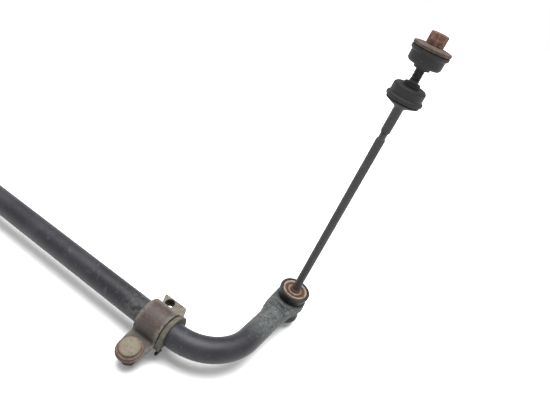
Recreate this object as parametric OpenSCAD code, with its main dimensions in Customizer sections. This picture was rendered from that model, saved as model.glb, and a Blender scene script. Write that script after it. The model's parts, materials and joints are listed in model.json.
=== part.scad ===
// Front sway bar: a bent round bar with a forged eye at each end, two frame
// brackets on rubber bushings and two long end links with rubber grommets.
// Millimetres. X runs along the straight bar, Y towards the arms, Z up.
// The origin is the middle of the straight bar, on its centre line.

/* [Bar] */
// Bar diameter
bar_d = 28.6; // [24:0.1:32]
// Distance from the middle of the bar to each bend
bend_x = 400; // [395:1:450]
// Centre-line radius of the bend
bend_r = 60; // [45:1:80]
// Angle that the bend turns through
bend_turn = 88; // [80:1:92]
// Straight arm from the end of the bend to the eye centre
arm_l = 98; // [90:1:140]
// Thickness of the flattened eye
eye_t = 12; // [10:0.5:14]
// Outer radius of the flattened eye
eye_r = 20.5; // [18:0.5:24]
// Hole through the eye
eye_hole_d = 19; // [18:0.5:20]

/* [Frame bracket] */
// Distance from the middle of the bar to each bracket
bracket_x = 374; // [340:1:375]
// Width of the strap along the bar
strap_w = 32; // [26:1:36]
// Thickness of the strap
strap_t = 3; // [2:0.5:4]
// Rubber wall under the strap
rubber_t = 3; // [3:0.5:4]
// Turn of the bracket about the bar at rest, in degrees
bracket_roll = 9.5; // [0:0.5:30]
// Distance from the bar to the bolt in the long foot
long_reach = 39.5; // [39.5:0.5:50]
// Distance from the bar to the hole in the short foot
short_reach = 30.5; // [30:0.5:32]
// Slant of the short foot towards the middle of the bar
foot_skew = 6.5; // [0:0.5:7]
// Fixing hole
bolt_hole_d = 11.5; // [10.5:0.5:11.5]
// Bracket bolt shank
bolt_d = 10; // [8:0.5:10]

/* [End link] */
// Rod diameter
rod_d = 10; // [9:0.5:10]
// Rod length above the eye centre
rod_top = 360; // [355:1:380]
// Rod length below the eye centre
rod_bottom = 36.2; // [36:0.1:40]
// Outward lean of the link, in degrees
link_lean = 3; // [0:0.5:6]
// Gap between the grommets where the suspension plate is clamped
clamp_gap = 14; // [8:1:16]
// Across-flats size of the link nuts
nut_af = 16; // [15:1:17]

/* [Hidden] */
$fn = 96;
round_fn = 64;
hex_fn = 6;
tiny = 0.01;
press_gap = 0.05;
soft_gap = 0.2;
bar_r = bar_d / 2;
rod_r = rod_d / 2;

// The arm is drawn a hair thinner than the bend that it runs into
arm_r = bar_r - 0.05;
arm_overlap = 1;

// Eye forging, along the arm from the eye centre
flat_start = -33;
ramp_start = -50;
neck_in = eye_r - 1.5;
neck_out = eye_r - 5;

// Strap and bushing radii
bush_bore_r = bar_r + press_gap;
bush_r = bar_r + rubber_t;
strap_in_r = bush_r + press_gap;
strap_out_r = strap_in_r + strap_t;
foot_top = -4.5;
foot_base = foot_top - strap_t;
foot_fillet = 4;
long_foot_r = 15;
short_foot_end = 7.5;
short_hole_x = -foot_skew - 3;
corner_cut = 1.5;
tab_steps = 24;
bush_base = -18.5;
bush_inner_l = 1.5;
flange_gap = 0.4;
flange_t = 5.6;
flange_r = bush_r + 1.3;
flange_wings = [
    [-14.9, 10.9], [-22, -3], [-22, -9.5], [-12, -11.5],
    [12, -11.5], [23.5, -9.5], [23.5, 4], [13.5, 12.6]
];
flange_base = -11.5;
pad_end = 37.8;
pad_side = 6;
pad_hole_r = bolt_hole_d / 2 + 0.5;
slit_w = 0.8;
slit_z = -12.8;

// Pull tab moulded under the outer flange of the bushing
tab_stem = [3, 3.6, 5];
tab_bar = [3, 9, 2.4];
tab_y = -17.5;
tab_root = 1;

// Bracket bolt stack, upwards from the foot
washer_t = 2.4;
washer_r = 13.9;
head_t = 4.8;
head_r = 11.3;
head_round = [1.4, 1.8];
head_bevel = 0.8;
head_flat = 0.4;
bracket_nut_h = 16.5;
bracket_nut_flange_r = 11;
bracket_nut_flange_t = 3;
bolt_tip = 5.6;
nut_chamfer = 1.2;
hexagon_chamfer = 0.7;

// Heights along the link, measured from the eye centre
sheet_t = 2;
cup_top = 19.4;
cup_r = 16.3;
cup_bore_r = rod_r + 0.4;
cup_boss_r = 9.5;
cup_groove_in = 11;
cup_groove_out = 13.2;
cup_groove_drop = 2.6;
cup_boss_drop = 0.6;
grommet_bore_r = rod_r + 0.4;
pilot_r = eye_hole_d / 2 - 0.3;
pilot_l = 5;
rim_r = 20.2;
rim_foot_r = 16.8;
rim_waist_r = 18.4;
rim_waist_z = [2, 9];
rim_lip = [1, 5];
upper_rim_z = 20.2;
lower_cup_z = 25.6;
lower_rim_z = 24.4;
collar_r = 7;
collar_h = 2.4;
eye_nut_h = 7.5;
swage_r = rod_r + 0.2;
pinch_z = 252;
pinch_size = [3.6, 13, 7];

perch_base = 286.2;
perch_hub_r = 8.6;
perch_dish_r = 17.8;
perch_dish_h = 4.2;
bush_flange_r = 19.3;
bush_flange_z = [0.6, 3.6];
bush_flange_h = 4.6;
bush_body_r = 17.2;
bush_face_r = 15.5;
bush_face_drop = 2;
bush_h = 15.2;
lip_r = 8.2;
lip_h = 3.6;
lower_bush_z = perch_base + perch_dish_h + sheet_t + soft_gap;
seat_z = lower_bush_z + bush_h;
upper_bush_z = seat_z + 2 * lip_h + clamp_gap + bush_h;
top_washer_z = upper_bush_z + soft_gap;
top_washer_t = 3;
top_dish = 1.4;
top_edge = [0.6, 0.4];
perch_nut_z = top_washer_z + top_dish + top_washer_t;
perch_nut_h = rod_top - perch_nut_z;

// ---- Frames ----

module on_side(side) {
    mirror([side == "left" ? 1 : 0, 0, 0]) children();
}

// Local x runs along the arm, with its origin where the bend ends
module arm_frame() {
    translate([bend_x, bend_r, 0]) rotate([0, 0, bend_turn])
        translate([0, -bend_r, 0]) children();
}

// Eye centre within the arm's frame, z along the link
module eye_in_arm() {
    translate([arm_l, 0, 0]) rotate([link_lean, 0, 0]) children();
}

module eye_frame() {
    arm_frame() eye_in_arm() children();
}

// Origin on the bar's axis, turned with the bracket
module bracket_frame() {
    translate([bracket_x, 0, 0]) rotate([bracket_roll, 0, 0]) children();
}

module long_foot_hole() {
    translate([0, -long_reach, foot_top]) children();
}

module short_foot_hole() {
    translate([short_hole_x, short_reach, foot_top]) children();
}

// ---- Bar ----

module eye_outline() {
    circle(r = eye_r);
    polygon([
        [0, eye_r], [flat_start, neck_in], [ramp_start, arm_r - tiny],
        [ramp_start, tiny - arm_r], [flat_start, -neck_out], [0, -eye_r]
    ]);
}

// Material above the flattened top of the forging
module flattening_cut() {
    rotate([90, 0, 0]) linear_extrude(height = 4 * bar_d, center = true)
        polygon([
            [ramp_start, bar_r], [flat_start, eye_t / 2], [bar_d, eye_t / 2],
            [bar_d, bar_d], [ramp_start, bar_d]
        ]);
}

// Arm and flattened eye, in the arm's own frame
module forged_end() {
    difference() {
        union() {
            translate([-arm_overlap, 0, 0]) rotate([0, 90, 0])
                cylinder(r = arm_r, h = arm_overlap + arm_l + flat_start + bar_r);
            eye_in_arm() linear_extrude(height = eye_t, center = true) eye_outline();
        }
        eye_in_arm() flattening_cut();
        eye_in_arm() mirror([0, 0, 1]) flattening_cut();
        eye_in_arm() cylinder(d = eye_hole_d, h = 2 * eye_t, center = true);
    }
}

module bar_half() {
    rotate([0, 90, 0]) cylinder(d = bar_d, h = bend_x);
    translate([bend_x, bend_r, 0]) rotate([0, 0, -90])
        rotate_extrude(angle = bend_turn) translate([bend_r, 0]) circle(d = bar_d);
    arm_frame() forged_end();
}

module sway_bar() {
    color("#2d2f38") {
        bar_half();
        mirror([1, 0, 0]) bar_half();
    }
}

// ---- Frame bracket ----

// Strap seen along the bar: an arch, two short legs and two feet
module strap_profile() {
    difference() {
        union() {
            circle(r = strap_out_r);
            translate([-strap_out_r, foot_base]) square([2 * strap_out_r, -foot_base]);
            translate([-long_reach - long_foot_r, foot_base])
                square([long_reach + short_reach + long_foot_r + short_foot_end, strap_t]);
            for (side = [-1, 1])
                translate([side * (strap_out_r + foot_fillet / 2), foot_top + foot_fillet / 2])
                    square([foot_fillet, foot_fillet], center = true);
        }
        for (side = [-1, 1])
            translate([side * (strap_out_r + foot_fillet), foot_top + foot_fillet])
                circle(r = foot_fillet, $fn = round_fn);
        circle(r = strap_in_r);
        translate([-strap_in_r, -2 * strap_out_r])
            square([2 * strap_in_r, 2 * strap_out_r]);
        translate([-strap_out_r - tiny, -2 * strap_out_r])
            square([2 * strap_out_r + 2 * tiny, 2 * strap_out_r + foot_base]);
    }
}

// Strap seen from above: a round tab on the long foot, a slanted one on the short
module strap_outline() {
    half_w = strap_w / 2;
    shoulder = -strap_out_r - foot_fillet;
    foot_end = short_reach + short_foot_end;
    polygon(concat(
        [
            [-half_w, shoulder], [-half_w, strap_out_r],
            [-half_w - foot_skew, foot_end - corner_cut],
            [corner_cut - half_w - foot_skew, foot_end],
            [half_w - foot_skew - corner_cut, foot_end],
            [half_w - foot_skew, foot_end - corner_cut],
            [half_w, strap_out_r], [half_w, shoulder]
        ],
        [for (i = [0:tab_steps]) let (turn = -180 * i / tab_steps) [
            long_foot_r * cos(turn), long_foot_r * sin(turn) - long_reach
        ]]
    ));
}

module frame_bracket() {
    color("#5d4a42") bracket_frame() difference() {
        intersection() {
            rotate([90, 0, 90])
                linear_extrude(height = strap_w + 2 * foot_skew, center = true) strap_profile();
            linear_extrude(height = 4 * strap_out_r, center = true) strap_outline();
        }
        short_foot_hole() cylinder(d = bolt_hole_d, h = 4 * strap_t, center = true);
        long_foot_hole() cylinder(d = bolt_hole_d, h = 4 * strap_t, center = true);
    }
}

// D section: round over the bar, square down to the flat base
module d_section(radius) {
    circle(r = radius);
    translate([-radius, bush_base]) square([2 * radius, -bush_base]);
}

module along_bar(from, length) {
    translate([from, 0, 0]) rotate([90, 0, 90]) linear_extrude(height = length) children();
}

// Flange over the top and sides of the outer end, winged towards both feet
module flange_section() {
    difference() {
        union() {
            circle(r = flange_r);
            polygon(flange_wings);
        }
        translate([-2 * flange_r, flange_base - 4 * flange_r])
            square([4 * flange_r, 4 * flange_r]);
    }
}

module pull_tab() {
    translate([strap_w / 2 + flange_gap + flange_t / 2, tab_y, flange_base]) {
        translate([0, 0, (tab_root - tab_stem.z) / 2])
            cube(tab_stem + [0, 0, tab_root], center = true);
        translate([0, 0, -tab_stem.z]) cube(tab_bar, center = true);
    }
}

// Rubber pad between the short foot and the vehicle
module foot_pad() {
    pad_start = -strap_w / 2 - bush_inner_l;
    difference() {
        translate([pad_start, bar_r, bush_base])
            cube([pad_side - pad_start, pad_end - bar_r, foot_base - soft_gap - bush_base]);
        short_foot_hole() cylinder(r = pad_hole_r, h = 4 * strap_out_r, center = true);
    }
}

module frame_bushing() {
    inner_end = -strap_w / 2 - bush_inner_l;
    outer_start = strap_w / 2 + flange_gap;
    color("#3b3d3a") bracket_frame() difference() {
        union() {
            along_bar(inner_end, outer_start - inner_end + tiny) d_section(bush_r);
            along_bar(outer_start, flange_t) flange_section();
            foot_pad();
            pull_tab();
        }
        rotate([0, 90, 0]) cylinder(r = bush_bore_r, h = 4 * strap_w, center = true);
        translate([0, bar_r + strap_out_r, slit_z])
            cube([4 * strap_w, 2 * strap_out_r + 2 * bar_r, slit_w], center = true);
    }
}

module bracket_washer() {
    color("#96695a") bracket_frame() long_foot_hole() difference() {
        cylinder(r = washer_r, h = washer_t);
        cylinder(d = bolt_hole_d, h = 4 * washer_t, center = true);
    }
}

// Round button head, shank and free tip below the nut
module bracket_bolt() {
    head_z = washer_t;
    tip_z = -strap_t - bracket_nut_h - bolt_tip;
    color("#a39a86") bracket_frame() long_foot_hole() union() {
        rotate_extrude() polygon([
            [0, head_z], [head_r - head_bevel, head_z], [head_r, head_z + head_bevel],
            [head_r, head_z + head_t - head_round.y],
            [head_r - head_round.x, head_z + head_t - head_flat],
            [head_r / 2, head_z + head_t], [0, head_z + head_t]
        ]);
        translate([0, 0, tip_z + nut_chamfer])
            cylinder(d = bolt_d, h = head_z - tip_z - nut_chamfer + tiny);
        translate([0, 0, tip_z])
            cylinder(r1 = bolt_d / 2 - nut_chamfer, r2 = bolt_d / 2, h = nut_chamfer);
    }
}

// Hexagon with both ends chamfered by a turned profile
module hexagon(height, across_flats) {
    corner = across_flats / 2 / cos(30);
    intersection() {
        cylinder(r = corner, h = height, $fn = hex_fn);
        rotate_extrude() polygon([
            [0, 0], [across_flats / 2, 0], [corner, hexagon_chamfer],
            [corner, height - hexagon_chamfer], [across_flats / 2, height], [0, height]
        ]);
    }
}

module bracket_nut() {
    color("#4a332b") bracket_frame() long_foot_hole()
        translate([0, 0, -strap_t - bracket_nut_h]) difference() {
            union() {
                hexagon(bracket_nut_h, nut_af);
                translate([0, 0, bracket_nut_h - bracket_nut_flange_t])
                    cylinder(r = bracket_nut_flange_r, h = bracket_nut_flange_t);
            }
            cylinder(r = bolt_d / 2 + press_gap, h = 4 * bracket_nut_h, center = true);
        }
}

// ---- End link ----

// Long stud with a collar over the eye, a pinched stop and a collar under the perch
module link_rod() {
    color("#2b2b2c") eye_frame() union() {
        translate([0, 0, -rod_bottom]) cylinder(r = rod_r, h = rod_bottom + rod_top);
        translate([0, 0, cup_top - cup_boss_drop]) cylinder(r = collar_r, h = collar_h);
        translate([0, 0, pinch_z]) cylinder(r = swage_r, h = perch_base - pinch_z);
        translate([0, 0, perch_base - collar_h])
            cylinder(r1 = swage_r, r2 = collar_r, h = collar_h);
        intersection() {
            translate([0, 0, pinch_z]) cube(pinch_size, center = true);
            translate([0, 0, pinch_z]) rotate([0, 90, 0])
                cylinder(r = pinch_size.y / 2, h = pinch_size.x, center = true);
        }
    }
}

// Section of a pressed cup washer, its rim at height zero
function cup_section() = [
    [cup_bore_r, -cup_boss_drop], [cup_boss_r, -cup_boss_drop],
    [cup_groove_in, -cup_groove_drop], [cup_groove_out, -cup_groove_drop],
    [cup_r, 0], [cup_r, -sheet_t],
    [cup_groove_out, -cup_groove_drop - sheet_t],
    [cup_groove_in, -cup_groove_drop - sheet_t],
    [cup_boss_r, -cup_boss_drop - sheet_t], [cup_bore_r, -cup_boss_drop - sheet_t]
];

// Section of an eye grommet, its pilot in the eye and its rim round the cup
function eye_grommet_section(cup_z, rim_z) = [
    [grommet_bore_r, eye_t / 2 - pilot_l], [pilot_r, eye_t / 2 - pilot_l],
    [pilot_r, eye_t / 2 + tiny], [rim_foot_r, eye_t / 2 + tiny],
    [rim_waist_r, eye_t / 2 + rim_waist_z.x], [rim_waist_r, rim_z - rim_waist_z.y],
    [rim_r, rim_z - rim_lip.y], [rim_r, rim_z - rim_lip.x], [rim_r - rim_lip.x, rim_z],
    [cup_r + rim_lip.x, rim_z], [cup_r + soft_gap, rim_z - rim_lip.x],
    [cup_r + soft_gap, cup_z - sheet_t - soft_gap],
    [cup_groove_out, cup_z - cup_groove_drop - sheet_t - soft_gap],
    [cup_groove_in, cup_z - cup_groove_drop - sheet_t - soft_gap],
    [cup_boss_r, cup_z - cup_boss_drop - sheet_t - soft_gap],
    [grommet_bore_r, cup_z - cup_boss_drop - sheet_t - soft_gap]
];

module eye_upper_washer() {
    color("#a4866a") eye_frame() translate([0, 0, cup_top])
        rotate_extrude() polygon(cup_section());
}

module eye_lower_washer() {
    color("#5b4a40") eye_frame() translate([0, 0, -lower_cup_z]) mirror([0, 0, 1])
        rotate_extrude() polygon(cup_section());
}

module eye_upper_bushing() {
    color("#232323") eye_frame()
        rotate_extrude() polygon(eye_grommet_section(cup_top, upper_rim_z));
}

module eye_lower_bushing() {
    color("#232323") eye_frame() mirror([0, 0, 1])
        rotate_extrude() polygon(eye_grommet_section(lower_cup_z, lower_rim_z));
}

module link_nut(base, height) {
    eye_frame() translate([0, 0, base]) difference() {
        hexagon(height, nut_af);
        cylinder(r = rod_r + press_gap, h = 4 * height, center = true);
    }
}

module eye_nut() {
    color("#4a332b") link_nut(-lower_cup_z + cup_boss_drop - eye_nut_h, eye_nut_h);
}

module perch_nut() {
    color("#8c5a3c") link_nut(perch_nut_z, perch_nut_h);
}

// Conical dish that carries the lower grommet of the perch
module perch_lower_washer() {
    color("#2f2b29") eye_frame() translate([0, 0, perch_base])
        rotate_extrude() polygon([
            [cup_bore_r, 0], [perch_hub_r, 0], [perch_dish_r, perch_dish_h],
            [perch_dish_r, perch_dish_h + sheet_t],
            [perch_hub_r, sheet_t], [cup_bore_r, sheet_t]
        ]);
}

// Section of a perch grommet, flange at the bottom, pilot lip at the top
function perch_grommet_section(dish) = [
    [grommet_bore_r, -dish], [perch_hub_r, -dish], [perch_dish_r, 0],
    [bush_flange_r, bush_flange_z.x], [bush_flange_r, bush_flange_z.y],
    [bush_body_r, bush_flange_h], [bush_body_r, bush_h - bush_face_drop],
    [bush_face_r, bush_h], [lip_r, bush_h],
    [lip_r, bush_h + lip_h], [grommet_bore_r, bush_h + lip_h]
];

module perch_lower_bushing() {
    color("#242426") eye_frame() translate([0, 0, lower_bush_z])
        rotate_extrude() polygon(perch_grommet_section(perch_dish_h));
}

module perch_upper_bushing() {
    color("#242426") eye_frame() translate([0, 0, upper_bush_z]) mirror([0, 0, 1])
        rotate_extrude() polygon(perch_grommet_section(0));
}

// Shallow domed washer under the top nut
module perch_upper_washer() {
    color("#5c4a41") eye_frame() translate([0, 0, top_washer_z])
        rotate_extrude() polygon([
            [cup_bore_r, top_dish], [perch_hub_r, top_dish], [bush_flange_r, 0],
            [bush_flange_r, top_washer_t - top_edge.y],
            [bush_flange_r - top_edge.x, top_washer_t],
            [perch_hub_r, top_dish + top_washer_t], [cup_bore_r, top_dish + top_washer_t]
        ]);
}

sway_bar();

on_side("left") frame_bracket();  // left_frame_bracket
on_side("left") frame_bushing();  // left_frame_bushing
on_side("left") bracket_bolt();  // left_bracket_bolt
on_side("left") bracket_washer();  // left_bracket_washer
on_side("left") bracket_nut();  // left_bracket_nut
on_side("left") link_rod();  // left_link_rod
on_side("left") eye_upper_washer();  // left_eye_upper_washer
on_side("left") eye_upper_bushing();  // left_eye_upper_bushing
on_side("left") eye_lower_bushing();  // left_eye_lower_bushing
on_side("left") eye_lower_washer();  // left_eye_lower_washer
on_side("left") eye_nut();  // left_eye_nut
on_side("left") perch_lower_washer();  // left_perch_lower_washer
on_side("left") perch_lower_bushing();  // left_perch_lower_bushing
on_side("left") perch_upper_bushing();  // left_perch_upper_bushing
on_side("left") perch_upper_washer();  // left_perch_upper_washer
on_side("left") perch_nut();  // left_perch_nut

on_side("right") frame_bracket();  // right_frame_bracket
on_side("right") frame_bushing();  // right_frame_bushing
on_side("right") bracket_bolt();  // right_bracket_bolt
on_side("right") bracket_washer();  // right_bracket_washer
on_side("right") bracket_nut();  // right_bracket_nut
on_side("right") link_rod();  // right_link_rod
on_side("right") eye_upper_washer();  // right_eye_upper_washer
on_side("right") eye_upper_bushing();  // right_eye_upper_bushing
on_side("right") eye_lower_bushing();  // right_eye_lower_bushing
on_side("right") eye_lower_washer();  // right_eye_lower_washer
on_side("right") eye_nut();  // right_eye_nut
on_side("right") perch_lower_washer();  // right_perch_lower_washer
on_side("right") perch_lower_bushing();  // right_perch_lower_bushing
on_side("right") perch_upper_bushing();  // right_perch_upper_bushing
on_side("right") perch_upper_washer();  // right_perch_upper_washer
on_side("right") perch_nut();  // right_perch_nut
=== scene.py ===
"""Sway bar with two frame brackets and two long end links.

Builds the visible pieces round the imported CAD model. Metres, with X along the
straight bar, Y towards the arms and Z up.
"""

import json
import math

import bmesh
import bpy
from bpy.props import (
    FloatProperty,
    FloatVectorProperty,
    IntProperty,
    PointerProperty,
)
from mathutils import Matrix, Vector, noise


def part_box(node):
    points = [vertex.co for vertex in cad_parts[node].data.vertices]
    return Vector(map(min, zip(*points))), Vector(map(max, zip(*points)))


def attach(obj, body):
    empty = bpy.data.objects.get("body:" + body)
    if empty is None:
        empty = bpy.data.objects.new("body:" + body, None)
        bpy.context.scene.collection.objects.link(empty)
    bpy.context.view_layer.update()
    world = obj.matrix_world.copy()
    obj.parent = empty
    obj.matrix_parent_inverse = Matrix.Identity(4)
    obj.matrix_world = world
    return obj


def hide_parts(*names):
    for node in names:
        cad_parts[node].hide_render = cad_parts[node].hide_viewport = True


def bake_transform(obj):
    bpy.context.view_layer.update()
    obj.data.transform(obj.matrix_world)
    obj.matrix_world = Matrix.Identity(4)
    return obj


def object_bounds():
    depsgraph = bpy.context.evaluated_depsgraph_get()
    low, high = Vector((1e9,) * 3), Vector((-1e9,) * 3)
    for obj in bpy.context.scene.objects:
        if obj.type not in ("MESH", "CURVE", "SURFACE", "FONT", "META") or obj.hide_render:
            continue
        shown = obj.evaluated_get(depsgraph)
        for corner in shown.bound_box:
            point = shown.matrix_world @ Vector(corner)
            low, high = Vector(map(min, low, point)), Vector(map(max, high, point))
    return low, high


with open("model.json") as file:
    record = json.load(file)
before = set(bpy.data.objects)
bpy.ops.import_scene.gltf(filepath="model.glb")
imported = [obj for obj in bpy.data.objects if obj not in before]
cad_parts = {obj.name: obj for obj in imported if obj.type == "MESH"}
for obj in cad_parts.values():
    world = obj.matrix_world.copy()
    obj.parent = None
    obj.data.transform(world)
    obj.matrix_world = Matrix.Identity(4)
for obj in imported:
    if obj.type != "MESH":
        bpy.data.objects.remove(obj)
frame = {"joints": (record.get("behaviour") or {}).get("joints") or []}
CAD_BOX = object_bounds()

bl_info = {
    "name": "Sway Bar Workshop",
    "version": (1, 0, 0),
    "blender": (4, 5, 0),
    "location": "View3D > Sidebar > Sway Bar",
    "description": "Builds a used sway bar with its frame brackets and end links",
    "category": "Add Mesh",
}

MM = 0.001
SIDES = ("left", "right")
JOINTS = {joint["name"]: joint for joint in frame["joints"]}
LIGHT_GAIN = 0.42
NOISE_SPREAD = 0.42
CLEARANCE = 0.05 * MM


# ---------------------------------------------------------------- placing

def mirror_of(side):
    return -1 if side == "left" else 1


def bracket_matrix(side, settings):
    """Origin on the bar's axis under the strap, x along the bar, z through the crown."""
    origin = Vector(JOINTS[f"{side}_bracket_turn"]["pos_m"])
    return Matrix.Translation(origin) @ Matrix.Rotation(settings.roll, 4, "X")


def link_matrix(side):
    """Origin at the eye centre, z up the link."""
    up = -Vector(JOINTS[f"{side}_clamp_slide"]["axis"]).normalized()
    across = Vector((1, 0, 0))
    depth = up.cross(across).normalized()
    across = depth.cross(up)
    turn = Matrix((across, depth, up)).transposed().to_4x4()
    return Matrix.Translation(Vector(JOINTS[f"{side}_link_swing"]["pos_m"])) @ turn


# ---------------------------------------------------------------- mesh tools

def smoothstep(value, low, high):
    share = min(max((value - low) / (high - low), 0), 1)
    return share * share * (3 - 2 * share)


def bump_between(value, low, high, soft):
    """1 between low and high, falling to 0 over the soft width outside them."""
    return smoothstep(value, low - soft, low) * (1 - smoothstep(value, high, high + soft))


def mix(a, b, share):
    return a + (b - a) * share


def in_mm(points):
    return [tuple(value * MM for value in point) for point in points]


def section(points, corner):
    """A rounded profile from (radius, height) or (radius, height, corner) points in mm."""
    return rounded(in_mm(points), corner * MM)


def rounded(points, radius, steps=4, closed=True):
    """The points of a polygon with each corner replaced by a short curve."""
    result = []
    count = len(points)
    for i, point in enumerate(points):
        corner = Vector(point[:2])
        size = point[2] if len(point) > 2 else radius
        if not closed and i in (0, count - 1) or size <= 0:
            result.append(corner)
            continue
        before = Vector(points[i - 1][:2]) - corner
        after = Vector(points[(i + 1) % count][:2]) - corner
        reach = min(size, before.length * 0.49, after.length * 0.49)
        start = corner + before.normalized() * reach
        end = corner + after.normalized() * reach
        for k in range(steps + 1):
            t = k / steps
            result.append(start * (1 - t) ** 2 + corner * 2 * t * (1 - t) + end * t * t)
    return result


def lathe(profile, steps=72, wobble=0.0, seed=0):
    """A closed profile of (radius, height) points turned about z."""
    mesh = bmesh.new()
    rows = []
    for radius, height in profile:
        row = []
        for k in range(steps):
            angle = 2 * math.pi * k / steps
            x, y = math.cos(angle), math.sin(angle)
            rough = noise.noise(Vector((x * 1.7, y * 1.7, height * 90 + seed))) * wobble
            row.append(mesh.verts.new((
                (radius + rough) * x, (radius + rough) * y, height + rough * 0.6)))
        rows.append(row)
    for low, high in zip(rows, [*rows[1:], rows[0]]):
        join_rows(mesh, low, high)
    return mesh


def join_rows(mesh, low, high, ring=True):
    """Quads between two rows, or a fan where one of them is a single vertex."""
    count = max(len(low), len(high))
    for k in range(count if ring else count - 1):
        n = (k + 1) % count
        if len(low) == 1:
            mesh.faces.new((low[0], high[k], high[n]))
        elif len(high) == 1:
            mesh.faces.new((low[k], high[0], low[n]))
        else:
            mesh.faces.new((low[k], low[n], high[n], high[k]))


def join_all(mesh, rows, ring=True):
    for low, high in zip(rows, rows[1:]):
        join_rows(mesh, low, high, ring)


def ring_row(mesh, height, radius_at, steps):
    """A ring about z whose radius comes from radius_at(height, angle)."""
    row = []
    for k in range(steps):
        angle = 2 * math.pi * k / steps
        radius = radius_at(height, angle)
        row.append(mesh.verts.new((radius * math.cos(angle), radius * math.sin(angle), height)))
    return row


def circle_row(mesh, radius, height, steps):
    return ring_row(mesh, height, lambda *_: radius, steps)


def add_piece(name, mesh, place, material, sharp=40.0, flip=False):
    """Turns a bmesh in a local frame into an object at that frame."""
    if flip:
        for vert in mesh.verts:
            vert.co.x = -vert.co.x
    bmesh.ops.recalc_face_normals(mesh, faces=mesh.faces)
    data = bpy.data.meshes.new(name)
    mesh.to_mesh(data)
    mesh.free()
    for polygon in data.polygons:
        polygon.use_smooth = True
    data.set_sharp_from_angle(angle=math.radians(sharp))
    piece = bpy.data.objects.new(name, data)
    bpy.context.scene.collection.objects.link(piece)
    piece.matrix_world = place
    data.materials.append(material)
    return piece


def weigh_normals(piece):
    modifier = piece.modifiers.new("Even shading", "WEIGHTED_NORMAL")
    modifier.keep_sharp = True


def install(piece, body, node):
    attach(piece, body)
    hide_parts(node)


def fit(side, name, mesh, place, material, body, slot, node, even=True, **look):
    """Adds one side's piece, which rides a body and stands for one node."""
    piece = add_piece(f"{side}_{name}", mesh, place, material, **look)
    if even:
        weigh_normals(piece)
    install(piece, f"{side}_{body}", f"{side}_{node}")


# A loop is one closed section: a row along the top, the right edge, a row along
# the bottom and the left edge. Loops of equal counts are joined into a bar.

class Plate:
    """The flat, pierced end of a swept bar or strap, drawn as rays round its hole."""

    def __init__(self, mesh, top_count, side_count):
        self.mesh = mesh
        self.top_count = top_count
        self.side_count = side_count

    def split(self, loop):
        t, s = self.top_count, self.side_count
        return (loop[:t], loop[t:t + s], loop[t + s:2 * t + s], loop[2 * t + s:])

    def close(self, loop, outline, top_at, bottom_at, edge_at, hole, rows):
        """Closes a loop with a plate whose rim follows the outline round its hole.

        outline holds (point, outward) pairs from the loop's right edge to its left.
        edge_at(point, outward) gives the top point, the edge points and the bottom
        point. hole is (centre, radius, edge rounding)."""
        top, right, bottom, left = self.split(loop)
        rims = [[self.mesh.verts.new(p) for p in edge_at(*pair)] for pair in outline]
        strips = [[top[-1], *right, bottom[0]], *rims, [top[0], *reversed(left), bottom[-1]]]
        join_all(self.mesh, strips, ring=False)
        outer_top = [*top, *[rim[0] for rim in rims]]
        outer_bottom = [*reversed(bottom), *[rim[-1] for rim in rims]]
        inner_top = self.spread(outer_top, top_at, hole, rows)
        inner_bottom = self.spread(outer_bottom, bottom_at, hole, rows)
        self.wall(inner_top, inner_bottom, hole)

    def spread(self, outer, height_at, hole, rows):
        """Rings from an outer boundary in to the hole's rounded edge."""
        centre, radius, rounding = hole
        previous = outer
        targets = []
        for vert in outer:
            ray = vert.co.xy - centre
            targets.append(centre + ray.normalized() * (radius + rounding))
        for k in range(1, rows + 1):
            share = k / rows
            ring = []
            for vert, target in zip(outer, targets):
                spot = vert.co.xy.lerp(target, share)
                ring.append(self.mesh.verts.new((spot.x, spot.y, height_at(spot.x, spot.y))))
            join_rows(self.mesh, previous, ring)
            previous = ring
        return previous

    def wall(self, top, bottom, hole):
        """The hole's wall, rounded into the faces above and below it."""
        centre, radius, rounding = hole
        rings = [top]
        for upper, turns in ((True, (30, 60, 90)), (False, (60, 30))):
            for turn in map(math.radians, turns):
                ring = []
                for a, b in zip(top, bottom):
                    ray = (a.co.xy - centre).normalized()
                    spot = centre + ray * (radius + rounding * (1 - math.sin(turn)))
                    drop = rounding * (1 - math.cos(turn))
                    height = a.co.z - drop if upper else b.co.z + drop
                    ring.append(self.mesh.verts.new((spot.x, spot.y, height)))
                rings.append(ring)
        rings.append(bottom)
        join_all(self.mesh, rings)


# ---------------------------------------------------------------- materials

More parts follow.
